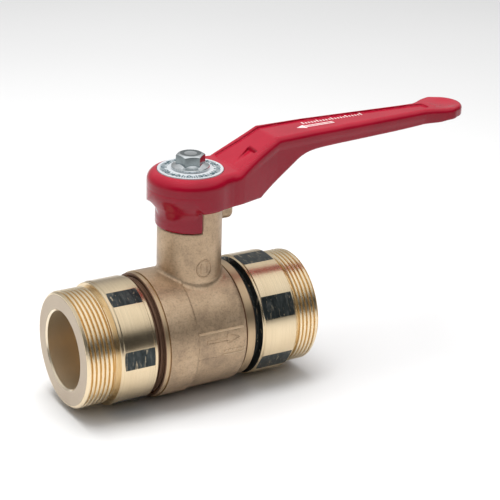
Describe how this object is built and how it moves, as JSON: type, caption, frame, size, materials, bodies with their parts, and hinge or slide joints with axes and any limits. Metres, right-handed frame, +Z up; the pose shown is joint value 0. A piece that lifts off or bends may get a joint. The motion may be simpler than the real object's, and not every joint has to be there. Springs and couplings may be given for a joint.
{
  "type": "water shutoff valve",
  "caption": "Full-bore ball valve for water pipework: cast body with a tall neck, screwed brass end pieces with male pipe threads, and a cranked lever handle.",
  "frame": {"origin": "centre of the ball, where the pipe axis crosses the stem axis", "axes": "+X along the pipe from inlet to outlet, +Z up the stem towards the lever, valve drawn open with the lever along +X"},
  "size_m": [0.2356, 0.0654, 0.1329],
  "materials": {
    "cast_bronze": "shot-blasted casting",
    "turned_brass": "turned, bright",
    "plated_ball": "polished chrome plate on brass",
    "ptfe": "white PTFE",
    "seal_rubber": "black EPDM",
    "red_coating": "glossy red coating on a die casting",
    "printed_plate": "satin plate with printed marks",
    "zinc_plate": "bright zinc plating"
  },
  "bodies": {
    "valve": {"valve_body": "cast_bronze", "inlet_end_piece": "turned_brass", "outlet_end_piece": "turned_brass", "gland_nut": "turned_brass", "gland_follower": "turned_brass", "inlet_seat_ring": "ptfe", "outlet_seat_ring": "ptfe", "stem_thrust_washer": "ptfe", "packing_ring_lower": "ptfe", "packing_ring_upper": "ptfe", "inlet_seat_o_ring": "seal_rubber", "outlet_seat_o_ring": "seal_rubber", "inlet_body_o_ring": "seal_rubber", "outlet_body_o_ring": "seal_rubber"},
    "lever": {"handle": "red_coating", "dial_disc": "printed_plate", "handle_bolt": "zinc_plate", "stem": "turned_brass", "stem_o_ring_lower": "seal_rubber", "stem_o_ring_upper": "seal_rubber", "ball": "plated_ball"}
  },
  "joints": [
    {"name": "lever_turn", "type": "hinge", "parent": "valve", "child": "lever", "pos_m": [0, 0, 0], "axis": [0, 0, 1], "range_deg": [-90, 0]}
  ]
}
